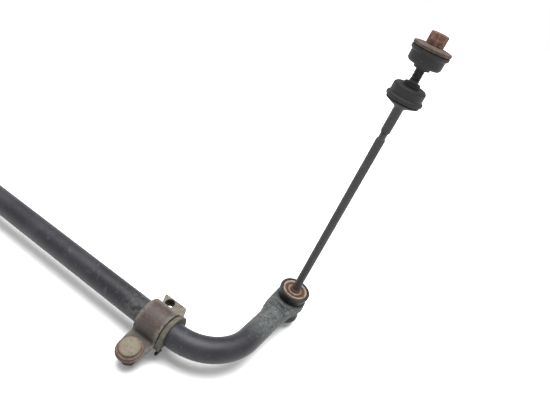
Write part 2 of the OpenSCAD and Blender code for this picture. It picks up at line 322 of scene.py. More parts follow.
class Finish:
    """A material whose colour, roughness and relief are built up in worn layers."""

    def __init__(self, name, colour, roughness, specular):
        self.material = bpy.data.materials.new(name)
        self.material.use_nodes = True
        self.nodes = self.material.node_tree.nodes
        self.links = self.material.node_tree.links
        self.nodes.clear()
        self.shader = self.nodes.new("ShaderNodeBsdfPrincipled")
        output = self.nodes.new("ShaderNodeOutputMaterial")
        self.links.new(self.shader.outputs["BSDF"], output.inputs["Surface"])
        self.shader.inputs["Specular IOR Level"].default_value = specular
        self.place = self.nodes.new("ShaderNodeTexCoord").outputs["Object"]
        self.colour = self.value_colour(colour)
        self.rough = roughness
        self.height = None

    def value_colour(self, colour):
        node = self.nodes.new("ShaderNodeRGB")
        node.outputs[0].default_value = (*colour[:3], 1)
        return node.outputs[0]

    def feed(self, socket, value):
        if hasattr(value, "is_linked"):
            self.links.new(value, socket)
        else:
            socket.default_value = value

    def math(self, operation, a, b=0.0):
        node = self.nodes.new("ShaderNodeMath")
        node.operation = operation
        node.use_clamp = True
        self.feed(node.inputs[0], a)
        self.feed(node.inputs[1], b)
        return node.outputs[0]

    def outside(self, mask):
        return self.math("SUBTRACT", 1.0, mask)

    def ramp(self, value, low, high):
        node = self.nodes.new("ShaderNodeMapRange")
        node.interpolation_type = "SMOOTHSTEP"
        self.feed(node.inputs["Value"], value)
        node.inputs["From Min"].default_value = low
        node.inputs["From Max"].default_value = high
        return node.outputs["Result"]

    def noise(self, size, detail=6.0, stretch=(1, 1, 1), warp=0.0, seed=0.0):
        """Noise with features of about the given size, in metres."""
        mapping = self.nodes.new("ShaderNodeMapping")
        mapping.inputs["Scale"].default_value = stretch
        mapping.inputs["Location"].default_value = (seed, seed * 0.7, -seed)
        self.links.new(self.place, mapping.inputs["Vector"])
        node = self.nodes.new("ShaderNodeTexNoise")
        node.inputs["Scale"].default_value = 1 / size
        node.inputs["Detail"].default_value = detail
        node.inputs["Roughness"].default_value = 0.62
        node.inputs["Distortion"].default_value = warp
        self.links.new(mapping.outputs["Vector"], node.inputs["Vector"])
        return node.outputs["Fac"]

    def along(self, axis, low, high, both=False):
        """A mask that rises from low to high along an axis of the piece."""
        split = self.nodes.new("ShaderNodeSeparateXYZ")
        self.links.new(self.place, split.inputs["Vector"])
        value = split.outputs[axis]
        if both:
            node = self.nodes.new("ShaderNodeMath")
            node.operation = "ABSOLUTE"
            self.links.new(value, node.inputs[0])
            value = node.outputs[0]
        return self.ramp(value, low, high)

    def band(self, axis, start, full, fade, end):
        """A mask for two mirrored bands across an axis of the piece."""
        rise = self.along(axis, start, full, both=True)
        return self.math("MULTIPLY", rise, self.outside(self.along(axis, fade, end, both=True)))

    def around(self, low, high):
        """A mask that rises from low to high with the distance from the z axis."""
        flat = self.nodes.new("ShaderNodeVectorMath")
        flat.operation = "MULTIPLY"
        self.links.new(self.place, flat.inputs[0])
        flat.inputs[1].default_value = (1, 1, 0)
        size = self.nodes.new("ShaderNodeVectorMath")
        size.operation = "LENGTH"
        self.links.new(flat.outputs["Vector"], size.inputs[0])
        return self.ramp(size.outputs["Value"], low, high)

    def facing_up(self, low, high):
        """A mask for what settles on surfaces that point up at rest."""
        geometry = self.nodes.new("ShaderNodeNewGeometry")
        split = self.nodes.new("ShaderNodeSeparateXYZ")
        self.links.new(geometry.outputs["Normal"], split.inputs["Vector"])
        return self.ramp(split.outputs["Z"], low, high)

    def layer(self, colour, cover, size, soft=0.06, rough=None, where=None, strength=1.0,
              **noise_options):
        """Lays a colour over part of the surface, cover being how much of it."""
        edge = 0.5 + (0.5 - cover) * NOISE_SPREAD
        mask = self.ramp(self.noise(size, **noise_options), edge - soft, edge + soft)
        self.lay(mask, colour, rough, where, strength)

    def lay(self, mask, colour, rough=None, where=None, strength=1.0):
        if where is not None:
            mask = self.math("MULTIPLY", mask, where)
        if strength != 1.0:
            mask = self.math("MULTIPLY", mask, strength)
        node = self.nodes.new("ShaderNodeMix")
        node.data_type = "RGBA"
        self.links.new(mask, node.inputs["Factor"])
        self.links.new(self.colour, node.inputs["A"])
        node.inputs["B"].default_value = (*colour[:3], 1)
        self.colour = node.outputs["Result"]
        if rough is not None:
            blend = self.nodes.new("ShaderNodeMix")
            self.links.new(mask, blend.inputs["Factor"])
            self.feed(blend.inputs["A"], self.rough)
            blend.inputs["B"].default_value = rough
            self.rough = blend.outputs["Result"]

    def relief(self, height, depth):
        """Raises the surface by up to depth, in metres, where height is 1."""
        scaled = self.nodes.new("ShaderNodeMath")
        scaled.operation = "MULTIPLY"
        self.feed(scaled.inputs[0], height)
        scaled.inputs[1].default_value = depth
        if self.height is None:
            self.height = scaled.outputs[0]
            return
        total = self.nodes.new("ShaderNodeMath")
        total.operation = "ADD"
        self.links.new(self.height, total.inputs[0])
        self.links.new(scaled.outputs[0], total.inputs[1])
        self.height = total.outputs[0]

    def done(self):
        self.links.new(self.colour, self.shader.inputs["Base Color"])
        self.feed(self.shader.inputs["Roughness"], self.rough)
        if self.height is not None:
            bump = self.nodes.new("ShaderNodeBump")
            bump.inputs["Strength"].default_value = 1.0
            bump.inputs["Distance"].default_value = 1.0
            self.links.new(self.height, bump.inputs["Height"])
            self.links.new(bump.outputs["Normal"], self.shader.inputs["Normal"])
        return self.material


def rgb(red, green, blue):
    """The albedo that shows as a display colour, 0 to 255, under the studio light."""
    def linear(value):
        share = value / 255
        light = share / 12.92 if share <= 0.04045 else ((share + 0.055) / 1.055) ** 2.4
        return light * LIGHT_GAIN
    return linear(red), linear(green), linear(blue)


# ---------------------------------------------------------------- settings

def length(name, description, default):
    return FloatProperty(name=name, description=description, default=default,
                         min=0, unit="LENGTH", subtype="DISTANCE", precision=5)


def colour(name, description, default):
    return FloatVectorProperty(name=name, description=description, default=default,
                               size=3, min=0, max=1, subtype="COLOR")


def bar_height():
    low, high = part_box("sway_bar")
    return high[2] - low[2]


class SwayBarSettings(bpy.types.PropertyGroup):
    diameter: length("Diameter", "Diameter of the round bar", bar_height())
    bend_x: length("Bend Start", "Distance from the middle to each bend", 400 * MM)
    bend_radius: length("Bend Radius", "Centre-line radius of each bend", 60 * MM)
    bend_turn: FloatProperty(
        name="Bend Angle", description="Angle that each bend turns through",
        default=math.radians(88), subtype="ANGLE")
    arm: length("Arm", "Straight arm from the bend to the eye centre", 98 * MM)
    eye_thickness: length("Eye Thickness", "Thickness of the flattened eye", 12 * MM)
    eye_radius: length("Eye Radius", "Outer radius of the eye", 20.5 * MM)
    eye_hole: length("Eye Hole", "Diameter of the hole through the eye", 19 * MM)
    eye_lean: FloatProperty(
        name="Eye Lean", description="Tilt of the flattened eye about the arm",
        default=math.radians(3), subtype="ANGLE")
    paint: colour("Paint", "Blue-black paint of the bar", rgb(27, 28, 35))
    dust: colour("Dust", "Dry grey dust that lies on the arms", rgb(104, 106, 106))


class SwayBracketSettings(bpy.types.PropertyGroup):
    roll: FloatProperty(
        name="Roll", description="Turn of the bracket about the bar at rest",
        default=math.radians(9.5), subtype="ANGLE")
    width: length("Strap Width", "Width of the strap along the bar", 32 * MM)
    thickness: length("Strap Thickness", "Thickness of the strap", 3 * MM)
    rubber: length("Rubber Wall", "Rubber between the bar and the strap", 3 * MM)
    long_reach: length("Bolt Reach", "Distance from the bar to the bolt", 39.5 * MM)
    short_reach: length("Hole Reach", "Distance from the bar to the free hole", 30.5 * MM)
    skew: length("Foot Slant", "Slant of the short foot along the bar", 6.5 * MM)
    foot_drop: length("Foot Drop", "Top of the feet below the bar's axis", 4.5 * MM)
    hole: length("Fixing Hole", "Diameter of the fixing holes", 11.5 * MM)
    steel: colour("Scale", "Brown scale on the crown of the strap", rgb(68, 49, 45))
    bare: colour("Dusty Steel", "Dusty worn steel of the feet", rgb(118, 112, 101))
    rubber_colour: colour("Rubber", "Dusty rubber of the bushing", rgb(98, 95, 85))


class SwayBoltSettings(bpy.types.PropertyGroup):
    shank: length("Shank", "Diameter of the bracket bolt", 10 * MM)
    head: length("Head Radius", "Radius of the round bolt head", 11.3 * MM)
    washer: length("Washer Radius", "Radius of the washer under the head", 13.9 * MM)
    nut: length("Nut Width", "Across-flats size of the nuts", 16 * MM)
    pitch: length("Thread Pitch", "Pitch of the threads", 1.5 * MM)
    head_colour: colour("Bolt Head", "Dried mud on the bolt head", rgb(128, 119, 102))
    washer_colour: colour("Washer", "Rust of the washer", rgb(112, 84, 74))
    nut_colour: colour("Nut", "Dark rust of the nut", rgb(66, 42, 36))


class SwayLinkSettings(bpy.types.PropertyGroup):
    rod: length("Rod Diameter", "Diameter of the link rod", 10 * MM)
    top: length("Rod Top", "Rod length above the eye centre", 360 * MM)
    bottom: length("Rod Bottom", "Rod length below the eye centre", 36.2 * MM)
    gap: length("Clamp Gap", "Gap between the upper grommets", 14 * MM)
    turns: IntProperty(
        name="Segments", description="Segments round each turned piece",
        default=72, min=24, max=192)
    rubber: colour("Rubber", "Near-black rubber of the grommets", rgb(24, 24, 25))
    cup: colour("Cup Washer", "Rusty tan of the cup washers", rgb(138, 110, 88))
    steel: colour("Rod", "Charcoal finish of the rod", rgb(28, 27, 28))
    copper: colour("Top Nut", "Copper-coloured rust of the top nut", rgb(132, 92, 70))


class SwayStageSettings(bpy.types.PropertyGroup):
    floor: colour("Floor", "Colour of the floor", (0.68, 0.68, 0.68))
    key: FloatProperty(
        name="Overhead Light", description="Strength of the soft light overhead",
        default=7.6, min=0)
    spread: FloatProperty(
        name="Light Spread", description="Angular size of the overhead light",
        default=math.radians(42), subtype="ANGLE")
    fill: FloatProperty(
        name="Fill", description="Strength of the even light all round",
        default=1.0, min=0)
    lens: FloatProperty(
        name="Lens", description="Focal length of the camera, in millimetres",
        default=29.45, min=1)


# ---------------------------------------------------------------- sway bar

TOP_COUNT = 19
EDGE_COUNT = 9
EDGE_ANGLE = math.radians(32)


def bar_loop(share, half_width, top, bottom, rounding, flash):
    """A section of the forging as (across, up) points, from round to flat."""
    half_width_flat = half_width - rounding
    points = []
    for k in range(TOP_COUNT):
        turn = mix(math.pi - EDGE_ANGLE, EDGE_ANGLE, k / (TOP_COUNT - 1))
        across = math.cos(turn) / math.cos(EDGE_ANGLE)
        points.append((
            mix(half_width * math.cos(turn), half_width_flat * across, share),
            mix(top * math.sin(turn), top, share)))
    flat_edge = plate_edge(half_width, top, bottom, rounding, flash)
    right = []
    for k, (out, up) in enumerate(flat_edge):
        turn = mix(EDGE_ANGLE, -EDGE_ANGLE, (k + 1) / (EDGE_COUNT + 1))
        height = top if turn > 0 else bottom
        right.append((
            mix(half_width * math.cos(turn), out, share),
            mix(height * math.sin(turn), up, share)))
    lower = []
    for k in range(TOP_COUNT):
        turn = mix(-EDGE_ANGLE, EDGE_ANGLE - math.pi, k / (TOP_COUNT - 1))
        across = math.cos(turn) / math.cos(EDGE_ANGLE)
        lower.append((
            mix(half_width * math.cos(turn), half_width_flat * across, share),
            mix(bottom * math.sin(turn), -bottom, share)))
    left = [(-across, up) for across, up in reversed(right)]
    return [*points, *right, *lower, *left]


def plate_edge(half_width, top, bottom, rounding, flash):
    """The rim of a forged plate: a rounded shoulder, then a thin fin of flash."""
    inner = half_width - rounding
    shoulder = [
        (inner + rounding * math.sin(turn), top - rounding * (1 - math.cos(turn)))
        for turn in (math.radians(a) for a in (26, 52, 76))]
    return [
        *shoulder,
        (half_width, 0.25 * top),
        (half_width + 0.1 * flash, -0.35 * bottom),
        (half_width + flash, -0.5 * bottom),
        (half_width + flash, -0.68 * bottom),
        (half_width + 0.1 * flash, -0.82 * bottom),
        (half_width - 0.45 * rounding, -0.97 * bottom),
    ]


# The raised flash and its groove, as distances from the eye's centre
LIP_BAND = (22.6 * MM, 25.4 * MM)
LEDGE_HEIGHT = 2.0 * MM
GROOVE_BAND = (27.2 * MM, 28.6 * MM)
GROOVE_DEPTH = 1.2 * MM
STATION_STEP = 0.02


class Forging:
    """Sizes of the pierced, flattened end, measured along the arm from the eye."""

    def __init__(self, settings):
        self.radius = settings.diameter / 2
        self.eye_radius = settings.eye_radius
        self.half = settings.eye_thickness / 2
        self.hole = settings.eye_hole / 2
        self.round_end = -45 * MM
        self.flat_start = -34.5 * MM
        self.joint = -28 * MM
        self.neck = 17.2 * MM
        self.offset = 1.8 * MM
        self.rounding = 1.8 * MM
        self.flash = 0.5 * MM
        self.swell = -58 * MM

    def half_width(self, s):
        return mix(self.radius, self.neck, smoothstep(s, self.swell, self.joint))

    def shift(self, s):
        """How far the section's middle moves inwards along the bar."""
        return self.offset * smoothstep(s, self.swell, self.joint)

    def share(self, s):
        return smoothstep(s, self.round_end, self.flat_start)

    def top(self, s):
        return mix(self.radius, self.half, self.share(s))

    def loop(self, s):
        top = self.top(s)
        return bar_loop(
            self.share(s), self.half_width(s), top, top, self.rounding, self.flash)

    def ledge(self, x, y):
        """The raised lip of flash that curls round the grommet, and its groove."""
        away = math.hypot(x, y)
        turn = abs(math.atan2(y, -x) + math.radians(6))
        window = 1 - smoothstep(turn, math.radians(28), math.radians(44))
        lip = bump_between(away, *LIP_BAND, 0.9 * MM)
        groove = bump_between(away, *GROOVE_BAND, 1.0 * MM)
        return (lip * LEDGE_HEIGHT - groove * GROOVE_DEPTH) * window

    def outline(self):
        """Points and outward directions of the eye's rim, from right round to left."""
        right, right_turn = self.side(self.neck - self.offset)
        left, left_turn = self.side(self.neck + self.offset)
        rim = [(Vector((p.x, -p.y)), Vector((n.x, -n.y))) for p, n in right]
        rim_steps = 56
        for k in range(rim_steps + 1):
            angle = mix(-right_turn, left_turn, k / rim_steps)
            outward = Vector((math.cos(angle), math.sin(angle)))
            rim.append((outward * self.eye_radius, outward))
        return [*rim, *reversed(left)]

    def side(self, neck):
        """Straight edge from the neck to the eye, and the angle where they touch."""
        reach = math.hypot(self.joint, neck)
        turn = math.pi - math.atan2(neck, -self.joint) - math.acos(self.eye_radius / reach)
        outward = Vector((math.cos(turn), math.sin(turn)))
        start = Vector((self.joint, neck))
        touch = outward * self.eye_radius
        return [(start.lerp(touch, k / 7), outward) for k in range(1, 7)], turn


def forged_bar(settings):
    """One half of the bar, from its middle to the eye, as a bmesh."""
    mesh = bmesh.new()
    forging = Forging(settings)
    turn = settings.bend_turn
    plate = Plate(mesh, TOP_COUNT, EDGE_COUNT)

    loops = []
    round_loop = bar_loop(0, forging.radius, forging.radius, forging.radius,
                          forging.rounding, forging.flash)

    def place(points, origin, ahead, lean=0.0):
        side = Vector((-ahead.y, ahead.x, 0))
        tilt = Matrix.Rotation(lean, 3, ahead)
        return [
            mesh.verts.new(origin + tilt @ (side * -across + Vector((0, 0, up))))
            for across, up in points]

    for k in range(int(settings.bend_x / STATION_STEP)):
        loops.append(place(round_loop, Vector((STATION_STEP * k, 0, 0)), Vector((1, 0, 0))))
    centre = Vector((settings.bend_x, settings.bend_radius, 0))
    bend_steps = 28
    for k in range(bend_steps + 1):
        angle = turn * k / bend_steps
        origin = centre + Vector((math.sin(angle), -math.cos(angle), 0)) * settings.bend_radius
        loops.append(place(round_loop, origin, Vector((math.cos(angle), math.sin(angle), 0))))
    ahead = Vector((math.cos(turn), math.sin(turn), 0))
    side = Vector((-ahead.y, ahead.x, 0))
    eye = Vector(JOINTS["right_link_swing"]["pos_m"])
    lengths = [-0.085, -0.072, -0.064]
    steps = 34
    lengths += [mix(forging.swell, forging.joint, k / steps) for k in range(steps + 1)]
    for s in lengths:
        lean = settings.eye_lean * forging.share(s)
        middle = eye + ahead * s + side * forging.shift(s)
        loops.append(place(forging.loop(s), middle, ahead, lean))
    join_all(mesh, loops)

    # The plate is drawn flat in the eye's own frame and then laid in place.
    basis = Matrix((ahead, side, Vector((0, 0, 1)))).transposed()
    tilt = Matrix.Rotation(settings.eye_lean, 3, ahead)
    lay = Matrix.Translation(eye) @ (tilt @ basis).to_4x4()
    back = lay.inverted()
    last = loops[-1]
    for vert in last:
        vert.co = back @ vert.co
    swept = set(mesh.verts) - set(last)

    def edge_at(point, outward):
        flat = plate_edge(0, forging.half, forging.half, forging.rounding, forging.flash)
        spots = [(-forging.rounding, forging.half), *flat, (-forging.rounding, -forging.half)]
        return [(*(point + outward * out), up) for out, up in spots]

    plate.close(
        last, forging.outline(),
        lambda x, y: forging.half + forging.ledge(x, y),
        lambda x, y: -forging.half,
        edge_at, (Vector((0, 0)), forging.hole, 0.8 * MM), 22)
    for vert in mesh.verts:
        if vert not in swept:
            vert.co = lay @ vert.co
    return mesh


def paint_finish(settings):
    finish = Finish("bar_paint", settings.paint, 0.5, specular=0.26)
    arm = finish.along("Y", 0.045, 0.090)
    finish.layer(rgb(58, 58, 66), 0.4, 0.05, 0.12, seed=3.1, strength=0.5)
    finish.layer(settings.dust, 0.75, 0.03, 0.14, rough=0.75, where=arm, strength=0.75, seed=1.3)
    finish.layer(rgb(124, 134, 130), 0.36, 0.0032, 0.05, rough=0.85, where=arm, strength=0.6,
                 seed=5.2)
    finish.layer(rgb(46, 46, 48), 0.34, 0.0036, 0.05, where=arm, strength=0.7, seed=8.8)
    collar = finish.band("X", 0.326, 0.346, 0.362, 0.378)
    finish.layer(rgb(98, 97, 92), 0.5, 0.0045, 0.1, rough=0.85, where=collar, strength=0.6,
                 seed=2.2)
    bend = finish.band("X", 0.388, 0.394, 0.408, 0.414)
    finish.layer(rgb(132, 130, 138), 0.16, 0.0035, 0.02, rough=0.7, where=bend, seed=4.4,
                 strength=0.7, warp=2.0)
    finish.layer(rgb(88, 88, 96), 0.2, 0.006, 0.05, rough=0.7, seed=6.5, strength=0.4)
    finish.relief(finish.noise(0.0022), 0.00018)
    finish.relief(finish.noise(0.012, detail=3), 0.00035)
    return finish.done()


class SWAY_OT_bar(bpy.types.Operator):
    """Forge the bar with its two bends and its flattened, pierced eyes"""
    bl_idname = "sway.bar"
    bl_label = "Forged Bar"

    def execute(self, context):
        settings = context.scene.sway_bar
        piece = add_piece("forged_bar", forged_bar(settings), Matrix.Identity(4),
                          paint_finish(settings), sharp=50)
        mirror = piece.modifiers.new("Other end", "MIRROR")
        mirror.use_axis[0] = True
        mirror.merge_threshold = 0.01 * MM
        install(piece, "bar", "sway_bar")
        return {"FINISHED"}


# ---------------------------------------------------------------- frame bracket

HOLE_SHIFT = 3 * MM


def far_hole(bracket):
    """Centre of the short foot's hole in the bracket's own frame."""
    return Vector((-bracket.skew - HOLE_SHIFT, bracket.short_reach))


class Strap:
    """Sizes of the stamped strap in the bracket's own frame."""

    def __init__(self, bar, bracket):
        self.thickness = bracket.thickness
        self.middle = bar.diameter / 2 + bracket.rubber + CLEARANCE + self.thickness / 2
        self.half_width = bracket.width / 2
        self.foot = -bracket.foot_drop - self.thickness / 2
        self.sweep = 5 * MM
        self.rise = -0.5 * MM
        self.edge = 0.9 * MM
        self.skew = bracket.skew
        self.hole = bracket.hole / 2
        self.far_hole = far_hole(bracket)
        self.near_hole = Vector((0, -bracket.long_reach))
        self.tab = 15 * MM
        self.far_end = bracket.short_reach + 7.5 * MM

    def path(self):
        """Middle line of the sheet from the long foot over the bar to the short one."""
        reach = self.middle + self.sweep
        start = Vector((-reach, self.foot))
        knee = Vector((-self.middle - 0.2 * MM, self.foot))
        end = Vector((-self.middle, self.rise))
        points = []
        knee_steps, arch_steps = 9, 40
        for k in range(knee_steps):
            t = k / knee_steps
            points.append(start * (1 - t) ** 2 + knee * 2 * t * (1 - t) + end * t * t)
        arch_start = math.asin(self.rise / self.middle)
        for k in range(arch_steps + 1):
            angle = mix(math.pi - arch_start, arch_start, k / arch_steps)
            points.append(Vector((math.cos(angle), math.sin(angle))) * self.middle)
        points += [Vector((-p.x, p.y)) for p in reversed(points[:knee_steps])]
        return points

    def loop(self, mesh, here, before, after):
        """One closed section across the strap at a point of its path."""
        ahead = (after - before).normalized()
        outward = Vector((-ahead.y, ahead.x))
        half = self.thickness / 2
        points = []
        flat = self.half_width - self.edge
        spots = [(mix(-flat, flat, k / (TOP_COUNT - 1)), half) for k in range(TOP_COUNT)]
        spots += self.edge_spots(self.half_width)
        spots += [(mix(flat, -flat, k / (TOP_COUNT - 1)), -half) for k in range(TOP_COUNT)]
        spots += [(-x, h) for x, h in reversed(self.edge_spots(self.half_width))]
        for x, height in spots:
            spot = here + outward * height
            points.append(mesh.verts.new((x, spot.x, spot.y)))
        return points

    def edge_spots(self, out):
        half = self.thickness / 2
        spots = []
        for k in range(1, EDGE_COUNT + 1):
            turn = mix(math.pi / 2, -math.pi / 2, k / (EDGE_COUNT + 1))
            spots.append((
                out - self.edge + self.edge * math.cos(turn) ** 0.7,
                half * (abs(math.sin(turn)) ** 0.6) * (1 if turn > 0 else -1)))
        return spots

    def foot_outline(self, points, samples):
        """Evenly spread points and outward directions along an open rounded path."""
        lengths = [0.0]
        for a, b in zip(points, points[1:]):
            lengths.append(lengths[-1] + (b - a).length)
        rim = []
        for k in range(1, samples):
            want = lengths[-1] * k / samples
            i = max(n for n in range(len(points) - 1) if lengths[n] <= want)
            share = (want - lengths[i]) / max(lengths[i + 1] - lengths[i], 1e-9)
            ahead = (points[i + 1] - points[i]).normalized()
            rim.append((points[i].lerp(points[i + 1], share), Vector((ahead.y, -ahead.x))))
        return rim


def strap_mesh(bar, bracket):
    mesh = bmesh.new()
    strap = Strap(bar, bracket)
    path = strap.path()
    loops = []
    for i, here in enumerate(path):
        before = path[i - 1] if i else here + Vector((-1, 0)) * MM
        after = path[i + 1] if i < len(path) - 1 else here + Vector((1, 0)) * MM
        loops.append(strap.loop(mesh, here, before, after))
    join_all(mesh, loops)
    plate = Plate(mesh, TOP_COUNT, EDGE_COUNT)
    top = strap.foot + strap.thickness / 2
    bottom = strap.foot - strap.thickness / 2

    def edge_at(point, outward):
        half = strap.thickness / 2
        spots = [(0, half), *strap.edge_spots(strap.edge), (0, -half)]
        return [(*(point + outward * (out - strap.edge)), strap.foot + up) for out, up in spots]

    # The far foot is short and slants sideways, and the near foot ends in a tab
    shoulder = loops[-1][0].co.y
    flat = strap.half_width
    corners = [(flat, shoulder), (flat - strap.skew, strap.far_end),
               (-flat - strap.skew, strap.far_end), (-flat, shoulder)]
    rim = strap.foot_outline(rounded(corners, 2.2 * MM, closed=False), 46)
    plate.close(
        loops[-1], rim, lambda x, y: top, lambda x, y: bottom, edge_at,
        (strap.far_hole, strap.hole, 0.5 * MM), 8)

    shoulder = loops[0][0].co.y
    tab = [Vector((flat, shoulder)), Vector((flat, shoulder - 1 * MM))]
    tab_steps = 40
    for k in range(tab_steps + 1):
        angle = mix(math.radians(2), math.radians(-182), k / tab_steps)
        tab.append(strap.near_hole + strap.tab * Vector((math.cos(angle), math.sin(angle))))
    tab += [Vector((-flat, shoulder - 4 * MM)), Vector((-flat, shoulder))]
    rim = [(point, -outward) for point, outward in strap.foot_outline(tab, 64)]
    plate.close(
        loops[0], rim, lambda x, y: top, lambda x, y: bottom, edge_at,
        (strap.near_hole, strap.hole, 0.5 * MM), 8)
    return mesh


def strap_finish(settings):
    finish = Finish("bracket_steel", settings.steel, 0.6, specular=0.4)
    finish.layer(rgb(56, 42, 40), 0.5, 0.014, 0.14, seed=2.4, strength=0.7)
    finish.layer(rgb(90, 68, 56), 0.3, 0.005, 0.06, seed=4.4, strength=0.6)
    # Dark grey over the near flank of the crown and the near foot: painted shade on the side nearer
    # the camera, while the far foot stays light.
    near = finish.outside(finish.along("Y", -0.024, -0.010))
    finish.layer(rgb(74, 71, 67), 0.8, 0.008, 0.14, rough=0.8, where=near, seed=7.1, strength=0.9)
    edges = finish.along("X", 0.0095, 0.0155, both=True)
    finish.layer(settings.bare, 0.6, 0.005, 0.1, rough=0.8, where=edges, strength=0.85, seed=3.7)
    far = finish.along("Y", 0.006, 0.020)
    finish.layer(settings.bare, 0.92, 0.01, 0.16, rough=0.85, where=far, seed=1.7)
    finish.layer(rgb(142, 134, 120), 0.42, 0.0035, 0.06, rough=0.85, where=far, seed=6.7,
                 strength=0.7)
    finish.layer(rgb(108, 74, 56), 0.22, 0.005, 0.05, rough=0.85, where=far, seed=8.1, strength=0.7)
    finish.layer(rgb(176, 154, 120), 0.12, 0.0028, 0.02, rough=0.8, seed=5.5, strength=0.8,
                 warp=1.5)
    finish.layer(rgb(122, 82, 56), 0.14, 0.003, 0.03, rough=0.9, seed=9.5, strength=0.7)
    finish.relief(finish.noise(0.0016), 0.00012)
    finish.relief(finish.noise(0.009, detail=3), 0.0003)
    return finish.done()


class SWAY_OT_straps(bpy.types.Operator):
    """Press the two frame bracket straps with their feet and fixing holes"""
    bl_idname = "sway.straps"
    bl_label = "Bracket Straps"

    def execute(self, context):
        bar, bracket = context.scene.sway_bar, context.scene.sway_bracket
        material = strap_finish(bracket)
        for side in SIDES:
            fit(side, "bracket_strap", strap_mesh(bar, bracket), bracket_matrix(side, bracket),
                material, "bracket", "bracket_steel", "frame_bracket", flip=side == "left")
        return {"FINISHED"}


# ---------------------------------------------------------------- frame bushing

BUSH_BASE = -18.5 * MM
BUSH_PROUD = 1.5 * MM
SLIT = (-13.2 * MM, -12.4 * MM)
FLANGE_BASE = -11.5 * MM
FLANGE_RADIUS = 18.6 * MM
NIB_Y = -17.5 * MM
PAD_SIDE = 6 * MM
PAD_END = 37.8 * MM


def d_outline(radius, base, slit_low, slit_high, corner):
    """A D-shaped outline that starts above the slit and ends below it."""
    points = [Vector((radius, slit_high)), Vector((radius, slit_high * 0.5))]
    points += [
        Vector((math.cos(a), math.sin(a))) * radius
        for a in (math.pi * k / 36 for k in range(37))]
    low = rounded([
        (-radius, 0, 0), (-radius, base, corner), (radius, base, corner), (radius, slit_low, 0)],
        corner, steps=4, closed=False)
    points += [Vector((-radius, base * 0.35)), Vector((-radius, base * 0.65))]
    points += [Vector(p) for p in low[1:]]
    return points


def bushing_mesh(bar, bracket):
    """The D-shaped body with its winged outer flange, foot pad and nib."""
    mesh = bmesh.new()
    bore = bar.diameter / 2 + CLEARANCE
    body = bore + bracket.rubber - CLEARANCE
    half = bracket.width / 2
    inner_end, outer_end = -half - BUSH_PROUD, half + 1.2 * MM
    stations = [(inner_end, 0.9 * MM), (inner_end + 0.3 * MM, 0.3 * MM),
                (inner_end + 0.9 * MM, 0)]
    stations += [(mix(inner_end + 2 * MM, outer_end, k / 3), 0) for k in range(4)]
    outer_rows, inner_rows = [], []
    for x, inset in stations:
        outline = d_outline(body - inset, BUSH_BASE + inset, *SLIT, 2.2 * MM)
        outer, inner = [], []
        for i, p in enumerate(outline):
            outer.append(mesh.verts.new((x, p.x, p.y)))
            ray = p.normalized()
            if i in (0, len(outline) - 1):
                low = SLIT[1] if i == 0 else SLIT[0]
                ray = Vector((math.sqrt(1 - (low / bore) ** 2), low / bore))
            inner.append(mesh.verts.new((x, ray.x * bore, ray.y * bore)))
        outer_rows.append(outer)
        inner_rows.append(inner)
    shell(mesh, outer_rows, inner_rows)
    flange(mesh, bore, half + 0.8 * MM, half + 6 * MM)
    foot_pad(mesh, bracket, inner_end)
    nib(mesh, half + 3.2 * MM)
    return mesh


def shell(mesh, outer_rows, inner_rows):
    """A closed wall between rows of outer and inner points, open along one side."""
    for rows in (outer_rows, inner_rows):
        join_all(mesh, rows, ring=False)
    for outer, inner in ((outer_rows[0], inner_rows[0]), (outer_rows[-1], inner_rows[-1])):
        join_rows(mesh, outer, inner, ring=False)
    for end in (0, -1):
        join_rows(mesh, [r[end] for r in outer_rows], [r[end] for r in inner_rows], ring=False)


def flange(mesh, bore, start, end):
    """Raised rim over the top and sides of the outer end, winged towards the feet."""
    far_wing = [(11, -11.5, 0), (23.3, -9.8, 2.4), (23.4, 4, 5), (13.8, 12.6, 3)]
    near_wing = [(-15.6, 10.3, 3), (-21.9, -3, 4), (-22, -9.6, 2.4), (-11, -11.5, 0)]
    arch = [
        (FLANGE_RADIUS * math.cos(a), FLANGE_RADIUS * math.sin(a), 0)
        for a in (mix(math.radians(50), math.radians(138), k / 14) for k in range(15))]
    outline = rounded([*in_mm(far_wing), *arch, *in_mm(near_wing)], 0, steps=5, closed=False)
    first = math.asin(FLANGE_BASE / bore)
    last = math.pi - first
    begin = math.atan2(outline[0].y, outline[0].x)
    soft = 1.1 * MM
    outer_rows, inner_rows = [], []
    for x, inset in ((start, 0.5 * soft), (start + 0.4 * soft, 0), (mix(start, end, 0.5), 0),
                     (end - soft, 0), (end - 0.35 * soft, 0.3 * soft), (end, soft)):
        outer, inner = [], []
        for p in outline:
            angle = math.atan2(p.y, p.x)
            if p.x < 0 and p.y < 0:
                angle += 2 * math.pi
            share = (angle - begin) / (math.pi - 2 * begin)
            wave = noise.noise(Vector((p.x * 120, p.y * 120, x * 60))) * 0.4 * MM
            spot = p * (1 + (wave - inset) / p.length)
            outer.append(mesh.verts.new((x, spot.x, spot.y)))
            turn = mix(first, last, share)
            inner.append(mesh.verts.new((x, bore * math.cos(turn), bore * math.sin(turn))))
        outer_rows.append(outer)
        inner_rows.append(inner)
    shell(mesh, outer_rows, inner_rows)


